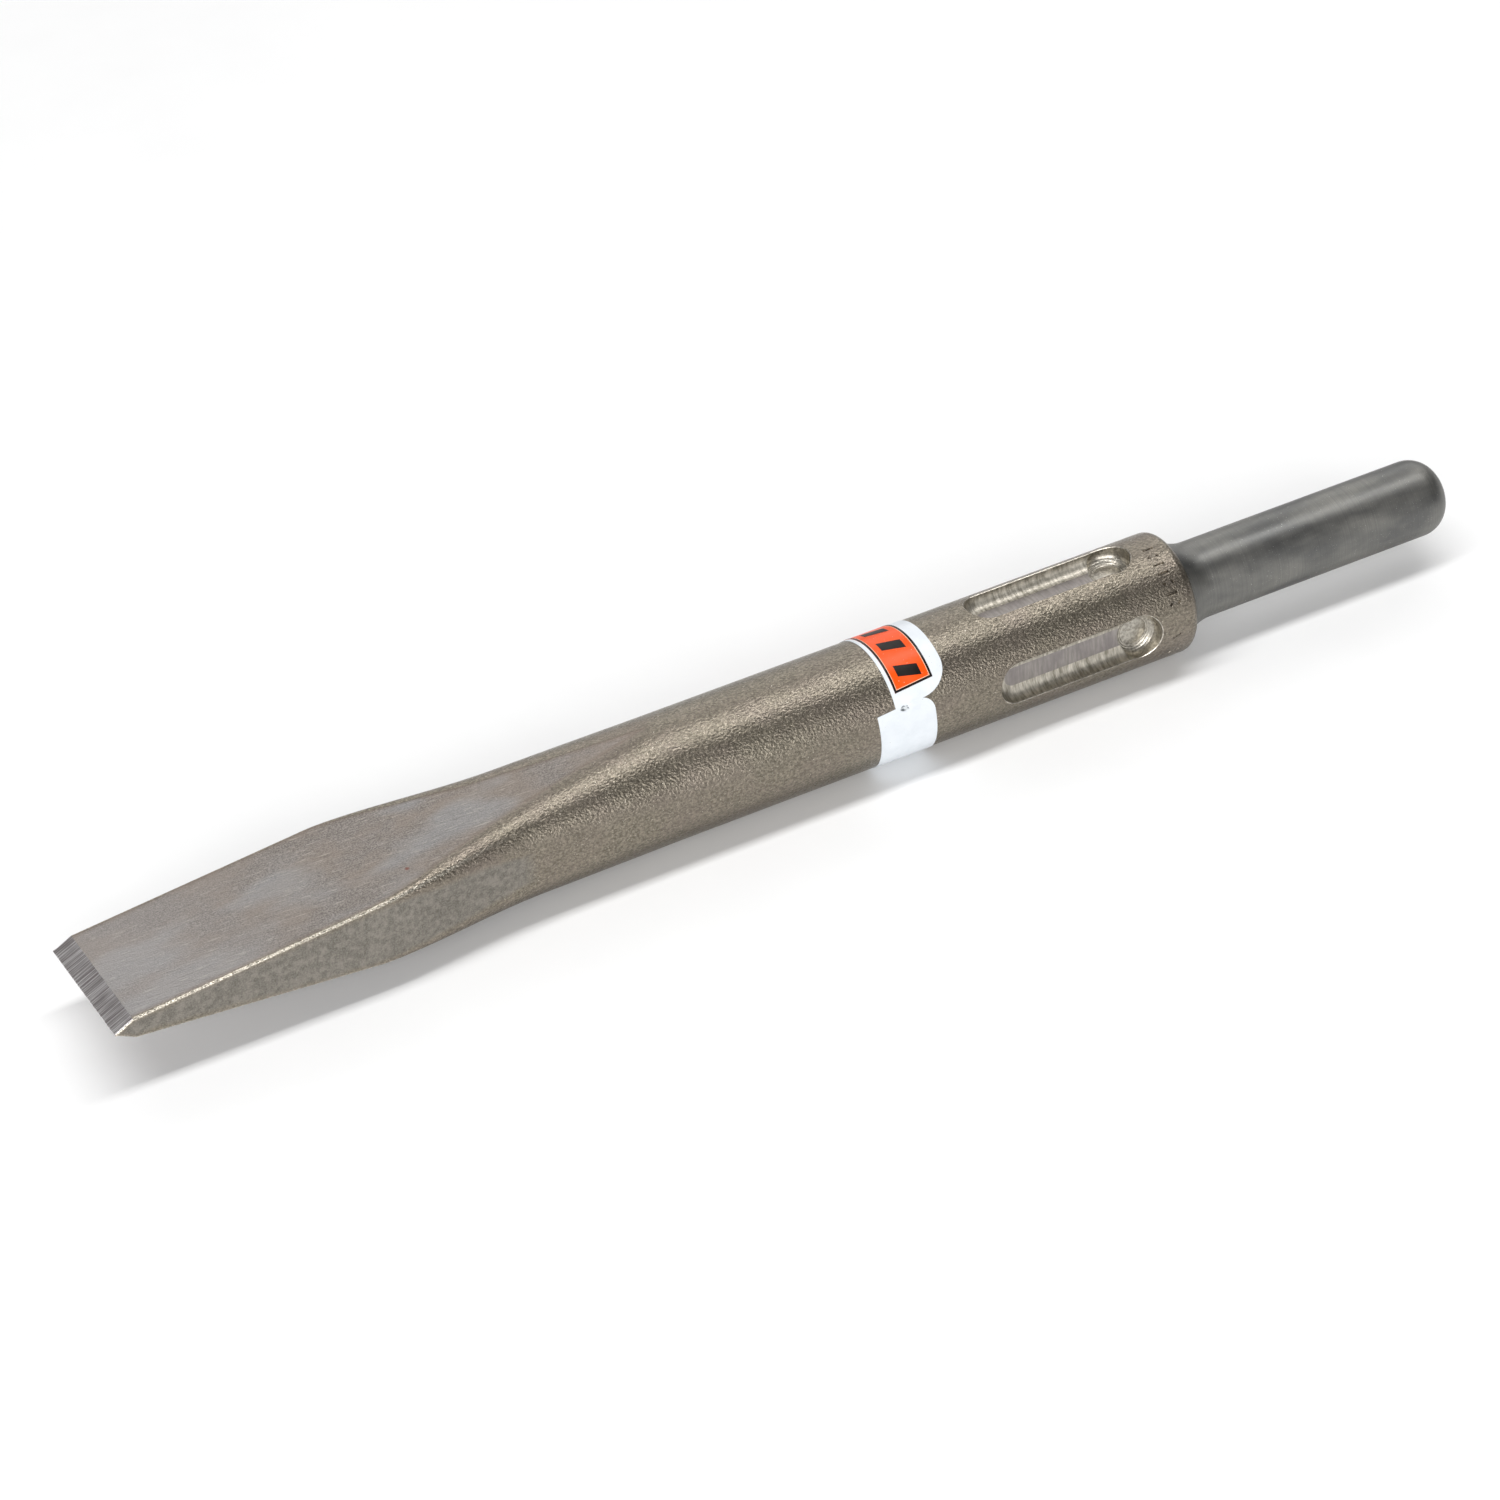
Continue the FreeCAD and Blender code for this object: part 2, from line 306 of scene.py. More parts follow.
# Punched marks, plain bars and dots in a row round the shank. Each is (degrees round, place along,
# strokes), and a stroke is (along, round, length, width, turn), in millimetres and degrees.
MARK_X = TIP_X + 215.2 * MM
MARK_DEPTH = 0.36 * MM
BAR = 0.9
DOT = 1.05
NOSE_SHORTER = 0.8
NOSE_WIDTH = 0.12
PUNCHED_BAR = ((0, 0, 2.6, BAR, 0),)
PUNCHED_PAIR = ((-0.85, 0, DOT, DOT, 45), (0.85, 0, DOT, DOT, 45))
MARKS = (
    (99, 0.0, PUNCHED_BAR),
    (109, 0.0, PUNCHED_PAIR),
    (119, 0.0, PUNCHED_BAR),
    (128, 0.0, PUNCHED_BAR),
    (138, 0.1, PUNCHED_PAIR),
    (148, 0.1, PUNCHED_BAR),
    (158, 0.2, PUNCHED_PAIR),
    (191, -0.3, ((0, 0, 2.2, BAR, 20),)),
    (213, -0.3, PUNCHED_PAIR),
)


def punch(bm, degrees_round, along, stroke):
    """Adds one chisel-nosed punch to the cutter mesh: a bar that narrows to its bottom."""
    u, v, length, width, turn = stroke
    made = bmesh.ops.create_cube(bm, size=1.0)["verts"]
    for vert in made:
        sunk = vert.co.z < 0
        vert.co.x *= (length - width * NOSE_SHORTER if sunk else length) * MM
        vert.co.y *= (width * NOSE_WIDTH if sunk else width) * MM
        vert.co.z = vert.co.z * 2 * MARK_DEPTH
    round_axis = Matrix.Rotation(math.radians(degrees_round - 90), 4, "X")
    outward = Matrix.Translation((MARK_X + (along + u) * MM, v * MM, SHANK_RADIUS))
    turned = Matrix.Rotation(math.radians(turn), 4, "Z")
    bmesh.ops.transform(bm, matrix=round_axis @ outward @ turned, verts=made)


def cut_away(target, cutter):
    """Cuts one object out of another and keeps the result as plain mesh."""
    cut = target.modifiers.new("cut", "BOOLEAN")
    cut.object = cutter
    cut.solver = "EXACT"
    cut.operation = "DIFFERENCE"
    cut.material_mode = "INDEX"
    bpy.context.view_layer.update()
    graph = bpy.context.evaluated_depsgraph_get()
    mesh = bpy.data.meshes.new_from_object(target.evaluated_get(graph))
    target.modifiers.remove(cut)
    old = target.data
    target.data = mesh
    bpy.data.meshes.remove(old)
    spent = cutter.data
    bpy.data.objects.remove(cutter)
    bpy.data.meshes.remove(spent)


def linear(code):
    """A hex colour as the linear colour that a shader takes."""
    channels = [int(code[i:i + 2], 16) / 255 for i in (1, 3, 5)]
    return (*[c / 12.92 if c <= 0.04045 else ((c + 0.055) / 1.055) ** 2.4 for c in channels], 1.0)


def add(tree, kind, out, inputs, **settings):
    """Adds a node and gives one output. An input takes a number, a hex colour or another output.
    A MapRange takes its value at 0, what it runs between at 1 and 2, and what that becomes at 3 and
    4, which are otherwise 0 and 1. A Mix takes its share at 0, and two colours at 6 and 7 or two
    numbers at 2 and 3."""
    node = tree.nodes.new("ShaderNode" + kind)
    for key, value in settings.items():
        setattr(node, key, value)
    for key, value in inputs.items():
        if isinstance(value, bpy.types.NodeSocket):
            tree.links.new(value, node.inputs[key])
        else:
            node.inputs[key].default_value = linear(value) if isinstance(value, str) else value
    return node.outputs[out]


def material(name, metallic, roughness):
    """A new material, its tree, its shader and the place in space that its patterns read."""
    made = bpy.data.materials.new(name)
    made.use_nodes = True
    tree = made.node_tree
    shader = tree.nodes["Principled BSDF"]
    shader.inputs["Metallic"].default_value = metallic
    shader.inputs["Roughness"].default_value = roughness
    return made, tree, shader, add(tree, "TexCoord", "Object", {})


def blasted_steel():
    """Forged and shot-blasted tool steel: a finely peened olive-grey skin on the round bar, nicked
    here and there, and closer-grained grey faces on the blade, bright along their worn corners."""
    made, tree, shader, place = material("shot_blasted_tool_steel", 1.0, 0.35)
    flat = add(tree, "Attribute", "Fac", {}, attribute_name="flat")
    side = add(tree, "Attribute", "Fac", {}, attribute_name="side")
    worn = add(tree, "Attribute", "Fac", {}, attribute_name="worn")
    along = add(tree, "SeparateXYZ", "X", {"Vector": place})

    # Grains, from the blasting shot's dents to the forge's patches. Real dents are finer, too fine
    # to show in the render, so these are as coarse as they need to be to show.
    stretch = add(tree, "Mapping", "Vector", {
        "Vector": place, "Scale": [0.54 * MM, 0.41 * MM, 0.41 * MM]}, vector_type="TEXTURE")
    peel = add(tree, "TexNoise", "Fac", {
        "Vector": stretch, "Scale": 1.0, "Detail": 2.0, "Roughness": 0.55})
    grit = add(tree, "TexNoise", "Fac", {
        "Vector": place, "Scale": 1 / (0.3 * MM), "Roughness": 0.6})
    mottle = add(tree, "TexNoise", "Fac", {"Vector": place, "Scale": 1 / (1.1 * MM), "Detail": 3.0})
    stretch = add(tree, "Mapping", "Vector", {
        "Vector": place, "Scale": [11 * MM, 7 * MM, 7 * MM]}, vector_type="TEXTURE")
    blotch = add(tree, "TexNoise", "Fac", {
        "Vector": stretch, "Scale": 1.0, "Detail": 3.0, "Roughness": 0.55})
    stretch = add(tree, "Mapping", "Vector", {
        "Vector": place, "Rotation": (0, 0, math.radians(-9)),
        "Scale": [6 * MM, 0.4 * MM, 0.4 * MM]}, vector_type="TEXTURE")
    scuff = add(tree, "TexNoise", "Fac", {"Vector": stretch, "Scale": 1.0, "Roughness": 0.6})
    stretch = add(tree, "Mapping", "Vector", {
        "Vector": place, "Scale": [17 * MM, 8 * MM, 8 * MM]}, vector_type="TEXTURE")
    smear = add(tree, "TexNoise", "Fac", {
        "Vector": stretch, "Scale": 1.0, "Detail": 1.0, "Roughness": 0.4})
    stretch = add(tree, "Mapping", "Vector", {
        "Vector": place, "Rotation": (math.radians(30), math.radians(25), math.radians(65)),
        "Scale": [2.2 * MM, 0.3 * MM, 0.3 * MM]}, vector_type="TEXTURE")
    nick = add(tree, "TexNoise", "Fac", {"Vector": stretch, "Scale": 1.0, "Detail": 1.0})

    # Where the dies or the wheel have left a face. Its border wanders with the blotches.
    border = add(tree, "Math", 0, {0: blotch, 1: 0.8, 2: flat}, operation="MULTIPLY_ADD")
    dressed = add(tree, "MapRange", 0, {0: border, 1: 0.4, 2: 0.8})
    border = add(tree, "Math", 0, {0: blotch, 1: 2.2, 2: side}, operation="MULTIPLY_ADD")
    sided = add(tree, "MapRange", 0, {0: border, 1: 0.9, 2: 1.9})
    faced = add(tree, "Math", 0, {0: dressed, 1: sided}, operation="MAXIMUM")

    # The peened skin: dents pale on their crests, with lone nicks.
    part = add(tree, "MapRange", 0, {0: peel, 1: 0.36, 2: 0.64})
    skin = add(tree, "Mix", 2, {0: part, 6: "#6c665b", 7: "#928a7c"}, data_type="RGBA")
    part = add(tree, "MapRange", 0, {0: grit, 1: 0.58, 2: 0.7, 4: 0.35})
    skin = add(tree, "Mix", 2, {0: part, 6: skin, 7: "#d8cfc0"}, data_type="RGBA")
    part = add(tree, "MapRange", 0, {0: blotch, 1: 0.4, 2: 0.7, 4: 0.4})
    skin = add(tree, "Mix", 2, {0: part, 6: skin, 7: "#877b74"}, data_type="RGBA")
    part = add(tree, "MapRange", 0, {0: nick, 1: 0.73, 2: 0.78, 4: 0.7})
    skin = add(tree, "Mix", 2, {0: part, 6: skin, 7: "#e6dfd0"}, data_type="RGBA")

    # The flats: grey, blue-grey in smeared patches, paler near the edge, browner at their border.
    part = add(tree, "MapRange", 0, {0: grit, 1: 0.34, 2: 0.66})
    dress = add(tree, "Mix", 2, {0: part, 6: "#736d68", 7: "#a29b95"}, data_type="RGBA")
    part = add(tree, "MapRange", 0, {0: blotch, 1: 0.45, 2: 0.62, 4: 0.45})
    dress = add(tree, "Mix", 2, {0: part, 6: dress, 7: "#998d82"}, data_type="RGBA")
    part = add(tree, "MapRange", 0, {0: smear, 1: 0.47, 2: 0.65, 4: 0.45})
    dress = add(tree, "Mix", 2, {0: part, 6: dress, 7: "#96989a"}, data_type="RGBA")
    part = add(tree, "MapRange", 0, {0: scuff, 1: 0.6, 2: 0.72, 4: 0.4})
    dress = add(tree, "Mix", 2, {0: part, 6: dress, 7: "#c8c1b6"}, data_type="RGBA")
    part = add(tree, "MapRange", 0, {0: scuff, 1: 0.4, 2: 0.3, 4: 0.3})
    dress = add(tree, "Mix", 2, {0: part, 6: dress, 7: "#625b56"}, data_type="RGBA")
    part = add(tree, "MapRange", 0, {
        0: along, 1: TIP_X + 10 * MM, 2: TIP_X + 45 * MM, 3: 0.35, 4: 0.0})
    dress = add(tree, "Mix", 2, {0: part, 6: dress, 7: "#aaa6a5"}, data_type="RGBA")
    part = add(tree, "MapRange", 0, {0: flat, 1: 0.2, 2: 1.2, 3: 0.35, 4: 0.0})
    dress = add(tree, "Mix", 2, {0: part, 6: dress, 7: "#75614f"}, data_type="RGBA")

    # The blade's narrow sides: a little greener and mottled.
    part = add(tree, "MapRange", 0, {0: mottle, 1: 0.38, 2: 0.64})
    edge = add(tree, "Mix", 2, {0: part, 6: "#716d66", 7: "#8b867e"}, data_type="RGBA")
    part = add(tree, "MapRange", 0, {0: grit, 1: 0.4, 2: 0.7, 4: 0.5})
    edge = add(tree, "Mix", 2, {0: part, 6: edge, 7: "#a6a198"}, data_type="RGBA")
    colour = add(tree, "Mix", 2, {0: sided, 6: skin, 7: edge}, data_type="RGBA")
    colour = add(tree, "Mix", 2, {0: dressed, 6: colour, 7: dress}, data_type="RGBA")

    # A few rust specks.
    speck = add(tree, "TexVoronoi", "Distance", {"Vector": place, "Scale": 1 / (7 * MM)})
    lot = add(tree, "SeparateColor", "Red", {"Color": speck.node.outputs["Color"]})
    chosen = add(tree, "MapRange", 0, {0: lot, 1: 0.84, 2: 0.86, 4: 0.7})
    spot = add(tree, "MapRange", 0, {0: speck, 1: 0.05, 2: 0.09, 3: 1.0, 4: 0.0})
    spot = add(tree, "Math", 0, {0: spot, 1: chosen}, operation="MULTIPLY")
    colour = add(tree, "Mix", 2, {0: spot, 6: colour, 7: "#7a3526"}, data_type="RGBA")

    # Bare metal along the worn corners.
    broken = add(tree, "MapRange", 0, {0: grit, 1: 0.35, 2: 0.6})
    bared = add(tree, "Math", 0, {0: worn, 1: broken}, operation="MULTIPLY")
    colour = add(tree, "Mix", 2, {0: bared, 6: colour, 7: "#f0e9da"}, data_type="RGBA")
    tree.links.new(colour, shader.inputs["Base Color"])

    dull = add(tree, "MapRange", 0, {0: peel, 1: 0.3, 2: 0.7, 3: 0.37, 4: 0.28})
    even = add(tree, "MapRange", 0, {0: smear, 1: 0.45, 2: 0.6, 3: 0.5, 4: 0.4})
    tree.links.new(add(tree, "Mix", 0, {0: faced, 2: dull, 3: even}), shader.inputs["Roughness"])

    dents = add(tree, "Math", 0, {0: grit, 1: 0.2, 2: peel}, operation="MULTIPLY_ADD")
    lines = add(tree, "MapRange", 0, {0: scuff, 1: 0.3, 2: 0.7, 4: 0.2})
    close = add(tree, "Math", 0, {0: grit, 1: 0.3, 2: lines}, operation="MULTIPLY_ADD")
    height = add(tree, "Mix", 0, {0: faced, 2: dents, 3: close})
    bump = add(tree, "Bump", "Normal", {"Height": height, "Strength": 1.0, "Distance": 0.14 * MM})
    tree.links.new(bump, shader.inputs["Normal"])
    return made


def ground_steel():
    """Tool steel ground across the edge: straight scratches that run with the bit's length. A
    wheel's are too fine to show in the render, so these are drawn coarser."""
    made, tree, shader, place = material("ground_tool_steel", 1.0, 0.4)
    stretch = add(tree, "Mapping", "Vector", {
        "Vector": place, "Rotation": (0, 0, math.radians(-4)),
        "Scale": [16 * MM, 0.32 * MM, 16 * MM]}, vector_type="TEXTURE")
    lines = add(tree, "TexNoise", "Fac", {"Vector": stretch, "Scale": 1.0, "Roughness": 0.6})
    broad = add(tree, "TexNoise", "Fac", {"Vector": place, "Scale": 1 / (4 * MM), "Detail": 1.0})
    part = add(tree, "MapRange", 0, {0: lines, 1: 0.4, 2: 0.6})
    colour = add(tree, "Mix", 2, {0: part, 6: "#a09898", 7: "#f0eded"}, data_type="RGBA")
    part = add(tree, "MapRange", 0, {0: broad, 1: 0.4, 2: 0.7, 4: 0.35})
    colour = add(tree, "Mix", 2, {0: part, 6: colour, 7: "#8d8586"}, data_type="RGBA")
    tree.links.new(colour, shader.inputs["Base Color"])
    bump = add(tree, "Bump", "Normal", {"Height": lines, "Strength": 1.0, "Distance": 0.04 * MM})
    tree.links.new(bump, shader.inputs["Normal"])
    return made


def turned_steel():
    """Turned and ground tool steel with a thin dark hardening skin, smooth and softly glossy. Its
    turning lines are as coarse as they need to be to show in the render."""
    made, tree, shader, place = material("hardened_ground_steel", 1.0, 0.38)
    stretch = add(tree, "Mapping", "Vector", {
        "Vector": place, "Scale": [0.22 * MM, 30 * MM, 30 * MM]}, vector_type="TEXTURE")
    lines = add(tree, "TexNoise", "Fac", {"Vector": stretch, "Scale": 1.0, "Roughness": 0.6})
    stretch = add(tree, "Mapping", "Vector", {
        "Vector": place, "Scale": [14 * MM, 6 * MM, 6 * MM]}, vector_type="TEXTURE")
    cloud = add(tree, "TexNoise", "Fac", {
        "Vector": stretch, "Scale": 1.0, "Detail": 3.0, "Roughness": 0.6})
    stretch = add(tree, "Mapping", "Vector", {
        "Vector": place, "Rotation": (0, math.radians(25), math.radians(70)),
        "Scale": [1.4 * MM, 0.18 * MM, 0.18 * MM]}, vector_type="TEXTURE")
    nick = add(tree, "TexNoise", "Fac", {"Vector": stretch, "Scale": 1.0, "Detail": 1.0})
    part = add(tree, "MapRange", 0, {0: cloud, 1: 0.35, 2: 0.65})
    colour = add(tree, "Mix", 2, {0: part, 6: "#6c6c6a", 7: "#888782"}, data_type="RGBA")
    part = add(tree, "MapRange", 0, {0: lines, 1: 0.35, 2: 0.65, 4: 0.25})
    colour = add(tree, "Mix", 2, {0: part, 6: colour, 7: "#5a5a5c"}, data_type="RGBA")
    part = add(tree, "MapRange", 0, {0: nick, 1: 0.72, 2: 0.78, 4: 0.6})
    colour = add(tree, "Mix", 2, {0: part, 6: colour, 7: "#d9d8d4"}, data_type="RGBA")
    tree.links.new(colour, shader.inputs["Base Color"])
    sheen = add(tree, "MapRange", 0, {0: cloud, 1: 0.3, 2: 0.7, 3: 0.4, 4: 0.5})
    tree.links.new(sheen, shader.inputs["Roughness"])
    bump = add(tree, "Bump", "Normal", {"Height": lines, "Strength": 1.0, "Distance": 0.012 * MM})
    tree.links.new(bump, shader.inputs["Normal"])
    return made


def milled_floor():
    """End-milled steel: a flat, dull, mauve-grey floor with faint feed lines, softly uneven."""
    made, tree, shader, place = material("milled_steel_floor", 1.0, 0.42)
    stretch = add(tree, "Mapping", "Vector", {
        "Vector": place, "Scale": [0.5 * MM, 3 * MM, 3 * MM]}, vector_type="TEXTURE")
    feed = add(tree, "TexNoise", "Fac", {"Vector": stretch, "Scale": 1.0})
    cloud = add(tree, "TexNoise", "Fac", {"Vector": place, "Scale": 1 / (3.3 * MM), "Detail": 3.0})
    part = add(tree, "MapRange", 0, {0: feed, 1: 0.35, 2: 0.65})
    colour = add(tree, "Mix", 2, {0: part, 6: "#8e8985", 7: "#a39d99"}, data_type="RGBA")
    part = add(tree, "MapRange", 0, {0: cloud, 1: 0.4, 2: 0.65, 4: 0.6})
    colour = add(tree, "Mix", 2, {0: part, 6: colour, 7: "#857f7f"}, data_type="RGBA")
    tree.links.new(colour, shader.inputs["Base Color"])
    bump = add(tree, "Bump", "Normal", {"Height": cloud, "Strength": 1.0, "Distance": 0.05 * MM})
    tree.links.new(bump, shader.inputs["Normal"])
    return made


def milled_wall():
    """Side-milled steel: close chatter marks that cross the hollow wall, broken into short dabs."""
    made, tree, shader, place = material("milled_steel_wall", 1.0, 0.46)
    stretch = add(tree, "Mapping", "Vector", {
        "Vector": place, "Scale": [0.42 * MM, 2.4 * MM, 2.4 * MM]}, vector_type="TEXTURE")
    chatter = add(tree, "TexNoise", "Fac", {"Vector": stretch, "Scale": 1.0, "Roughness": 0.6})
    stretch = add(tree, "Mapping", "Vector", {
        "Vector": place, "Scale": [1.1 * MM, 1.8 * MM, 1.8 * MM]}, vector_type="TEXTURE")
    coarse = add(tree, "TexNoise", "Fac", {
        "Vector": stretch, "Scale": 1.0, "Detail": 3.0, "Roughness": 0.6})
    height = add(tree, "Math", 0, {0: coarse, 1: 0.8, 2: chatter}, operation="MULTIPLY_ADD")
    part = add(tree, "MapRange", 0, {0: height, 1: 0.65, 2: 1.15})
    colour = add(tree, "Mix", 2, {0: part, 6: "#8c877b", 7: "#d3cdc1"}, data_type="RGBA")
    tree.links.new(colour, shader.inputs["Base Color"])
    bump = add(tree, "Bump", "Normal", {"Height": height, "Strength": 1.0, "Distance": 0.045 * MM})
    tree.links.new(bump, shader.inputs["Normal"])
    return made


def bared_steel(name, dark, pale, grain_size):
    """Steel bared by a tool: bright, with a fine uneven grain."""
    made, tree, shader, place = material(name, 1.0, 0.35)
    grain = add(tree, "TexNoise", "Fac", {
        "Vector": place, "Scale": 1 / grain_size, "Roughness": 0.6})
    part = add(tree, "MapRange", 0, {0: grain, 1: 0.35, 2: 0.65})
    colour = add(tree, "Mix", 2, {0: part, 6: dark, 7: pale}, data_type="RGBA")
    tree.links.new(colour, shader.inputs["Base Color"])
    bump = add(tree, "Bump", "Normal", {"Height": grain, "Strength": 1.0, "Distance": 0.02 * MM})
    tree.links.new(bump, shader.inputs["Normal"])
    return made


bar = spun(bit_profile(), RING_STEPS, "X")
forge(bar)
bit = mesh_object(bar, "forged_bit")
for finish in (blasted_steel(), ground_steel(), turned_steel(), milled_floor(), milled_wall(),
               bared_steel("plunge_milled_steel", "#928d84", "#c2bdb2", 0.5 * MM),
               bared_steel("bared_steel_rim", "#a09a90", "#e8e2d6", 0.6 * MM),
               bared_steel("punched_steel", "#5a534b", "#b4ac9f", 0.5 * MM)):
    bit.data.materials.append(finish)

slot_length = SLOT_END_X - SLOT_START_X - 2 * SLOT_HALF_WIDTH
for turn in SLOT_ANGLES:
    milled = slot_cutter(SLOT_HALF_WIDTH, SLOT_DEPTH, SLOT_HOLLOW, 0.0, slot_length,
                         (SLOT_START_X + SLOT_END_X) / 2, turn)
    cut_away(bit, mesh_object(milled, "slot_cutter"))
    plunged = slot_cutter(POCKET_HALF_WIDTH, POCKET_DEPTH, POCKET_HOLLOW, POCKET_RING, 0.0,
                          SLOT_END_X - SLOT_HALF_WIDTH, turn)
    cut_away(bit, mesh_object(plunged, "pocket_cutter"))
punches = bmesh.new()
for degrees_round, along, strokes in MARKS:
    for stroke in strokes:
        punch(punches, degrees_round, along, stroke)
for face in punches.faces:
    face.material_index = PUNCHED
cut_away(bit, mesh_object(punches, "punches"))
bit.data.set_sharp_from_angle(angle=STEEL_CREASE)
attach(bit, "root")
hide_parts("chisel_bit")

# ------------------------------------------------------------------ label film
# A strip of satin white vinyl film, wound once round the shank a little askew. Its two ends all
# but meet on the near side, where it has lifted into a small fold. It is held by its own glue.

LABEL_X = TIP_X + 161.6 * MM
LABEL_JOIN = math.radians(157.8)
LABEL_STEP = 3.9 * MM
LABEL_LEAN = 0.08
LABEL_WIDTH = 11.6 * MM
LABEL_GAP = 0.14 * MM
LABEL_THICKNESS = 0.118 * MM
LABEL_START_CORNER = 3.0 * MM
LABEL_END_CORNER = 5.4 * MM
LABEL_ROUND = 2 * math.pi * SHANK_RADIUS
SLICE = 0.6 * MM
SLICES_ACROSS = 14
ROUND_OFF_STEPS = 10
FILM_CREASE = math.radians(40)
# The fold near the film's lower end and the lift of its upper one: how far each is from its end,
# how far off the middle line, and its spread along and across.
FOLD_HEIGHT = 0.34 * MM
FOLD = (1.1 * MM, -1.6 * MM, 0.7 * MM, 1.3 * MM)
LIFT = (0.6 * MM, 1.4 * MM, 0.6 * MM, 1.2 * MM)
LIFT_SHARE = 0.7
# The rough steel shows faintly through the film and its ink.
TELEGRAPH_SIZE = 0.85 * MM
TELEGRAPH_HEIGHT = 0.03 * MM


def outline(corners, round_offs=()):
    """A flat face in the label's plane: X runs round the shank, Y across the label."""
    bm = bmesh.new()
    bm.faces.new([bm.verts.new((x, y, 0)) for x, y in corners])
    bm.normal_update()
    for index, radius in round_offs:
        corner = min(bm.verts, key=lambda v: (v.co.xy - Vector(corners[index])).length)
        bmesh.ops.bevel(bm, geom=[corner], offset=radius, offset_type="OFFSET", affect="VERTICES",
                        segments=ROUND_OFF_STEPS, profile=0.5, material=-1)
    return bm


def box_outline(low, high, bottom, top):
    """An upright rectangle on the label."""
    return outline([(low, bottom), (high, bottom), (high, top), (low, top)])


def wound(bm, start, thickness, slices_across=0, lift=None):
    """Gives flat film its thickness and winds it on the shank, start above the steel."""
    low = min(v.co.x for v in bm.verts)
    high = max(v.co.x for v in bm.verts)
    cuts = [((low + SLICE * i, 0, 0), (1, 0, 0)) for i in range(1, int((high - low) / SLICE) + 1)]
    cuts += [((0, LABEL_WIDTH * (i / slices_across - 0.5), 0), (0, 1, 0))
             for i in range(1, slices_across)]
    for point, normal in cuts:
        bmesh.ops.bisect_plane(bm, geom=bm.verts[:] + bm.edges[:] + bm.faces[:], dist=MERGE,
                               plane_co=point, plane_no=normal)
    grown = bmesh.ops.extrude_face_region(bm, geom=bm.faces[:])["geom"]
    upper = [g for g in grown if isinstance(g, bmesh.types.BMVert)]
    bmesh.ops.translate(bm, verts=upper, vec=(0, 0, thickness))
    bmesh.ops.recalc_face_normals(bm, faces=bm.faces)
    for v in bm.verts:
        around, across, height = v.co
        raised = lift(around, across) if lift else 0.0
        radius = SHANK_RADIUS + start + height + raised
        angle = LABEL_JOIN + (around - LABEL_LEAN * across) / SHANK_RADIUS
        climb = LABEL_STEP * (ease(around / LABEL_ROUND) - 1.0)
        v.co = (LABEL_X + across + climb, radius * math.cos(angle), radius * math.sin(angle))
    for face in bm.faces:
        face.smooth = True
    return bm


def swell(along, across, shape):
    """One soft swelling of the film, 1 at its middle."""
    middle, off, length, width = shape
    return math.exp(-((along - middle) / length) ** 2 - ((across - off) / width) ** 2)


def film_lift(around, across):
    """How far the film stands off the steel: a small fold by the join and a slight lift."""
    fold = swell(LABEL_ROUND - around, across, FOLD)
    return FOLD_HEIGHT * (fold + LIFT_SHARE * swell(around, across, LIFT))


def vinyl_film():
    """Satin white vinyl: a cool white with faint dirt, telegraphing the rough steel under it."""
    made, tree, shader, place = material("satin_white_vinyl", 0.0, 0.38)
    dirt = add(tree, "TexNoise", "Fac", {
        "Vector": place, "Scale": 1 / (2.5 * MM), "Detail": 4.0, "Roughness": 0.6})
    speck = add(tree, "TexNoise", "Fac", {"Vector": place, "Scale": 1 / (0.35 * MM), "Detail": 1.0})
    under = add(tree, "TexNoise", "Fac", {"Vector": place, "Scale": 1 / TELEGRAPH_SIZE})
    part = add(tree, "MapRange", 0, {0: dirt, 1: 0.4, 2: 0.7, 4: 0.5})
    colour = add(tree, "Mix", 2, {0: part, 6: "#dfe4e9", 7: "#d1d7dd"}, data_type="RGBA")
    part = add(tree, "MapRange", 0, {0: speck, 1: 0.76, 2: 0.8, 4: 0.5})
    colour = add(tree, "Mix", 2, {0: part, 6: colour, 7: "#8f8b86"}, data_type="RGBA")
    tree.links.new(colour, shader.inputs["Base Color"])
    satin = add(tree, "MapRange", 0, {0: dirt, 1: 0.3, 2: 0.7, 3: 0.32, 4: 0.46})
    tree.links.new(satin, shader.inputs["Roughness"])
    bump = add(tree, "Bump", "Normal", {
        "Height": under, "Strength": 1.0, "Distance": TELEGRAPH_HEIGHT})
    tree.links.new(bump, shader.inputs["Normal"])
    return made


film_low, film_high = LABEL_GAP / 2, LABEL_ROUND - LABEL_GAP / 2
film_half = LABEL_WIDTH / 2
strip = outline([(film_low, -film_half), (film_high, -film_half),
                 (film_high, film_half), (film_low, film_half)],
                ((2, LABEL_END_CORNER), (3, LABEL_START_CORNER)))
film = mesh_object(wound(strip, 0.0, LABEL_THICKNESS, SLICES_ACROSS, film_lift), "label_film")
film.data.materials.append(vinyl_film())
film.data.set_sharp_from_angle(angle=FILM_CREASE)
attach(film, "root")
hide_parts("wrap_label")

# ------------------------------------------------------------------ squeezed glue
# A crumb of the label's clear acrylic glue, squeezed out where the film's two ends meet. It has
# set there in a wrinkled bead and caught grey dust.

CRUMB_SIZE = (0.95 * MM, 0.5 * MM, 0.2 * MM)
CRUMB_SUBDIVISIONS = 4
CRUMB_AROUND = 0.3 * MM
CRUMB_ACROSS = -4.0 * MM
CRUMB_WRINKLE = 0.3
WRINKLE_PITCH = 2.2


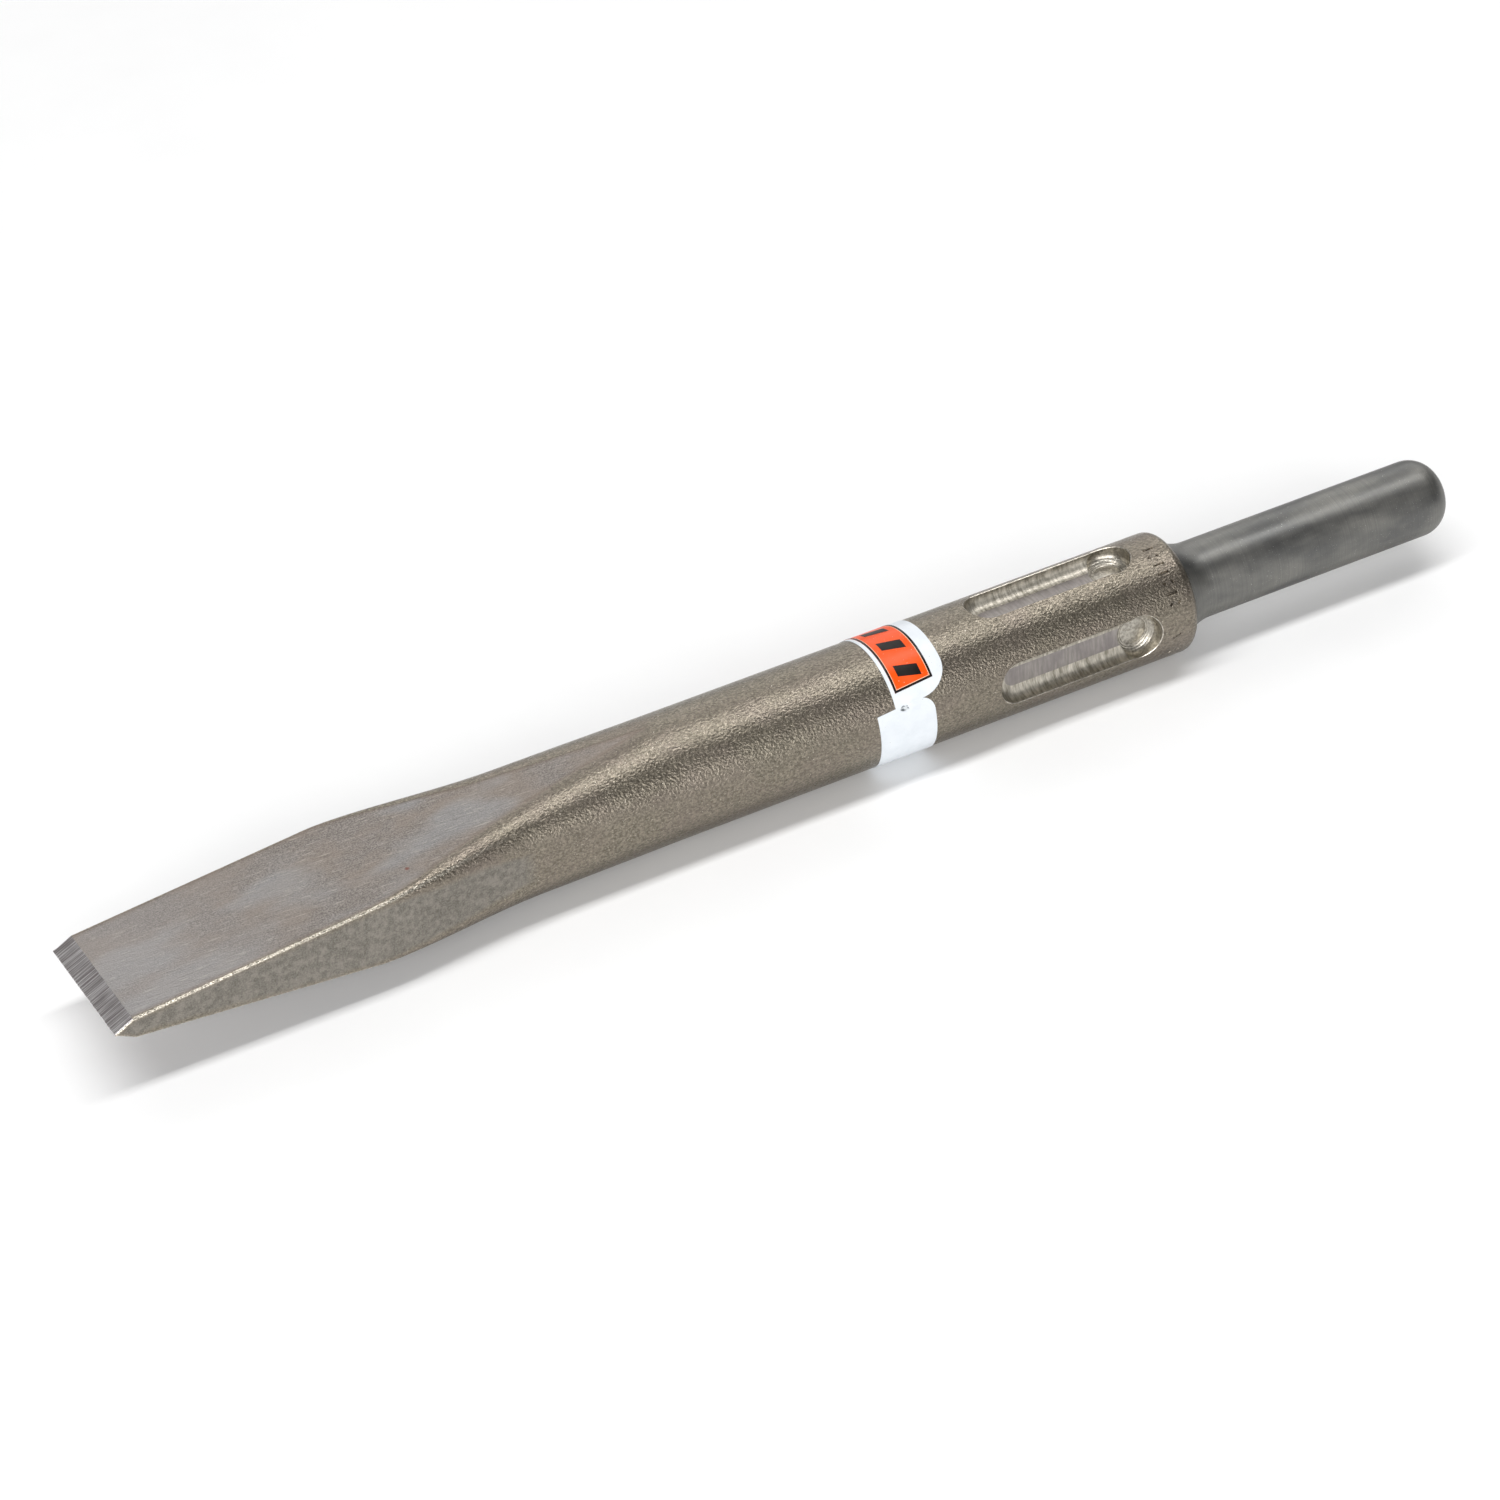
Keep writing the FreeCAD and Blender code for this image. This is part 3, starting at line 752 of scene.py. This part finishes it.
def dusty_glue():
    """Clear acrylic glue, grey with dust: a glossy crumpled bead that glints."""
    made, tree, shader, place = material("dusty_clear_glue", 0.0, 0.12)
    stretch = add(tree, "Mapping", "Vector", {
        "Vector": place, "Scale": [1.1 * MM, 0.5 * MM, 0.5 * MM]}, vector_type="TEXTURE")
    cloud = add(tree, "TexNoise", "Fac", {"Vector": stretch, "Scale": 1.0, "Detail": 1.0})
    part = add(tree, "MapRange", 0, {0: cloud, 1: 0.45, 2: 0.6})
    colour = add(tree, "Mix", 2, {0: part, 6: "#4d5357", 7: "#d5dadd"}, data_type="RGBA")
    tree.links.new(colour, shader.inputs["Base Color"])
    bump = add(tree, "Bump", "Normal", {"Height": cloud, "Strength": 1.0, "Distance": 0.2 * MM})
    tree.links.new(bump, shader.inputs["Normal"])
    return made


bead = bmesh.new()
bmesh.ops.create_icosphere(bead, subdivisions=CRUMB_SUBDIVISIONS, radius=1.0)
for v in bead.verts:
    v.co *= 1.0 + CRUMB_WRINKLE * noise.noise(v.co * WRINKLE_PITCH)
    x, y, z = (v.co[i] * CRUMB_SIZE[i] for i in range(3))
    angle = LABEL_JOIN + (CRUMB_AROUND + y - LABEL_LEAN * CRUMB_ACROSS) / SHANK_RADIUS
    radius = SHANK_RADIUS + LABEL_THICKNESS + z
    v.co = (LABEL_X + CRUMB_ACROSS + x, radius * math.cos(angle), radius * math.sin(angle))
bead.normal_update()
bmesh.ops.recalc_face_normals(bead, faces=bead.faces)
for face in bead.faces:
    face.smooth = True
glue = mesh_object(bead, "squeezed_glue")
glue.data.materials.append(dusty_glue())
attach(glue, "root")

# ------------------------------------------------------------------ label print
# Ink printed on the film: an orange field with a thin pale keyline, framed in black, with a plain
# row of slanted black bars. The ink is a thin glossy layer, scuffed to the white film in places.

FIELD_LENGTH = 42.0 * MM
FIELD_HIGH = LABEL_ROUND - LABEL_GAP / 2 - 2.8 * MM
FIELD_LOW = FIELD_HIGH - FIELD_LENGTH
FIELD_BOTTOM = 0.75 * MM - LABEL_WIDTH / 2
FIELD_TOP = LABEL_WIDTH / 2 - 2.8 * MM
INK = 0.03 * MM
FRAME_LINE = 0.62 * MM
KEYLINE = 0.16 * MM
BAR_COUNT = 7
BAR_WIDTH = 2.2 * MM
BAR_HEIGHT = 4.4 * MM
BAR_LEAN = 1.4 * MM


def ink(name, printed, bare, amount, roughness):
    """Printed ink on film: even and glossy, with tiny scuffs through to the film."""
    made, tree, shader, place = material(name, 0.0, roughness)
    shader.inputs["Specular IOR Level"].default_value = 0.3
    scuff = add(tree, "TexNoise", "Fac", {
        "Vector": place, "Scale": 1 / (0.4 * MM), "Roughness": 0.6})
    cloud = add(tree, "TexNoise", "Fac", {"Vector": place, "Scale": 1 / (4 * MM)})
    under = add(tree, "TexNoise", "Fac", {"Vector": place, "Scale": 1 / TELEGRAPH_SIZE})
    part = add(tree, "MapRange", 0, {0: cloud, 1: 0.35, 2: 0.7, 4: 0.03})
    colour = add(tree, "Mix", 2, {0: part, 6: printed, 7: bare}, data_type="RGBA")
    part = add(tree, "MapRange", 0, {0: scuff, 1: amount, 2: amount + 0.04, 4: 0.85})
    colour = add(tree, "Mix", 2, {0: part, 6: colour, 7: bare}, data_type="RGBA")
    tree.links.new(colour, shader.inputs["Base Color"])
    gloss = add(tree, "MapRange", 0, {
        0: cloud, 1: 0.3, 2: 0.7, 3: roughness - 0.04, 4: roughness + 0.06})
    tree.links.new(gloss, shader.inputs["Roughness"])
    bump = add(tree, "Bump", "Normal", {
        "Height": under, "Strength": 1.0, "Distance": TELEGRAPH_HEIGHT})
    tree.links.new(bump, shader.inputs["Normal"])
    return made


field_shape = box_outline(FIELD_LOW, FIELD_HIGH, FIELD_BOTTOM, FIELD_TOP)
bmesh.ops.inset_region(field_shape, faces=field_shape.faces[:], thickness=FRAME_LINE,
                       use_boundary=True)
inner = max(field_shape.faces, key=lambda f: f.calc_area())
key_ring = bmesh.ops.inset_region(field_shape, faces=[inner], thickness=KEYLINE, use_boundary=True)
for face in key_ring["faces"]:
    face.material_index = 1
field = mesh_object(wound(field_shape, LABEL_THICKNESS, INK), "orange_field")
field.data.materials.append(ink("orange_print_ink", "#ee5005", "#ffd9c4", 0.7, 0.34))
field.data.materials.append(ink("pale_keyline_ink", "#ffc9a8", "#ffffff", 0.75, 0.32))
field.data.set_sharp_from_angle(angle=FILM_CREASE)
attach(field, "root")
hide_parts("label_field")

marks_shape = box_outline(FIELD_LOW, FIELD_HIGH, FIELD_BOTTOM, FIELD_TOP)
bmesh.ops.inset_region(marks_shape, faces=marks_shape.faces[:], thickness=FRAME_LINE,
                       use_boundary=True)
inner = max(marks_shape.faces, key=lambda f: f.calc_area())
bmesh.ops.delete(marks_shape, geom=[inner], context="FACES")
field_middle = (FIELD_BOTTOM + FIELD_TOP) / 2
bottom, top, lean = field_middle - BAR_HEIGHT / 2, field_middle + BAR_HEIGHT / 2, BAR_LEAN / 2
for i in range(BAR_COUNT):
    start = FIELD_LOW + FIELD_LENGTH / BAR_COUNT * (i + 0.5) - BAR_WIDTH / 2
    corners = [(start - lean, bottom), (start + BAR_WIDTH - lean, bottom),
               (start + BAR_WIDTH + lean, top), (start + lean, top)]
    marks_shape.faces.new([marks_shape.verts.new((x, y, 0)) for x, y in corners])
marks = mesh_object(wound(marks_shape, LABEL_THICKNESS + INK, INK), "black_marks")
marks.data.materials.append(ink("black_print_ink", "#15110f", "#8c8279", 0.72, 0.36))
marks.data.set_sharp_from_angle(angle=FILM_CREASE)
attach(marks, "root")
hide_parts("label_marks")

# ------------------------------------------------------------------ floor, light and camera
# A plain white studio table. One long narrow soft box hangs over the bit, a wide one stands
# behind it and a tall one in front, and the rest of the room is dim, so that the round steel
# shows a bright band, a dark one under it and a softer pale one below that.

FLOOR_HALF_SIZE = 3.0
ROOM_LIGHT = 0.18

floor_shape = bmesh.new()
bmesh.ops.create_grid(floor_shape, x_segments=1, y_segments=1, size=FLOOR_HALF_SIZE)
bmesh.ops.translate(floor_shape, verts=floor_shape.verts, vec=(0, 0, cad_box[0].z))
floor = mesh_object(floor_shape, "floor")
paper, tree, shader, place = material("matt_white_paper", 0.0, 0.7)
fibre = add(tree, "TexNoise", "Fac", {"Vector": place, "Scale": 1 / (30 * MM), "Detail": 3.0})
white = add(tree, "Mix", 2, {0: fibre, 6: "#f4f4f4", 7: "#fafafa"}, data_type="RGBA")
tree.links.new(white, shader.inputs["Base Color"])
floor.data.materials.append(paper)


def soft_box(name, place, aim, width, height, radiance):
    """A soft area light that faces a point, as wide and high and as radiant as it says."""
    data = bpy.data.lights.new(name, "AREA")
    data.shape = "RECTANGLE"
    data.size, data.size_y = width, height
    data.energy = radiance * math.pi * width * height
    light = bpy.data.objects.new(name, data)
    look = (Vector(place) - Vector(aim)).to_track_quat("Z", "Y").to_matrix().to_4x4()
    light.matrix_world = Matrix.Translation(place) @ look
    bpy.context.scene.collection.objects.link(light)


soft_box("overhead_box", (-0.03, 0.01, 0.95), (-0.03, 0.0, 0.0), 1.7, 0.2, 7.1)
soft_box("rear_box", (0.55, 1.2, 0.8), (0.0, 0.0, 0.0), 2.4, 0.9, 1.5)
soft_box("front_box", (-0.62, -1.4, 0.66), (0.0, 0.0, 0.0), 2.4, 0.74, 4.7)

CAMERA_AZIMUTH = -24.11
CAMERA_ELEVATION = 34.20
CAMERA_ROLL = 6.33
CAMERA_DISTANCE = 0.9561
CAMERA_LENS = 126.1
CAMERA_TARGET = Vector((-34.24, -0.52, -0.69)) * MM

azimuth = math.radians(CAMERA_AZIMUTH)
elevation = math.radians(CAMERA_ELEVATION)
level = math.cos(elevation)
back = Vector((math.sin(azimuth) * level, -math.cos(azimuth) * level, math.sin(elevation)))
camera_data = bpy.data.cameras.new("camera")
camera_data.lens = CAMERA_LENS
camera_data.sensor_width = 36.0
camera = bpy.data.objects.new("camera", camera_data)
bpy.context.scene.collection.objects.link(camera)
roll = Matrix.Rotation(math.radians(-CAMERA_ROLL), 3, "Z")
stance = back.to_track_quat("Z", "Y").to_matrix() @ roll
camera.matrix_world = Matrix.Translation(CAMERA_TARGET + back * CAMERA_DISTANCE) @ stance.to_4x4()
bpy.context.scene.camera = camera

room = bpy.data.worlds.new("room")
bpy.context.scene.world = room
room.use_nodes = True
room.node_tree.nodes["Background"].inputs["Color"].default_value = (1, 1, 1, 1)
room.node_tree.nodes["Background"].inputs["Strength"].default_value = ROOM_LIGHT
bpy.context.scene.view_settings.view_transform = "Standard"
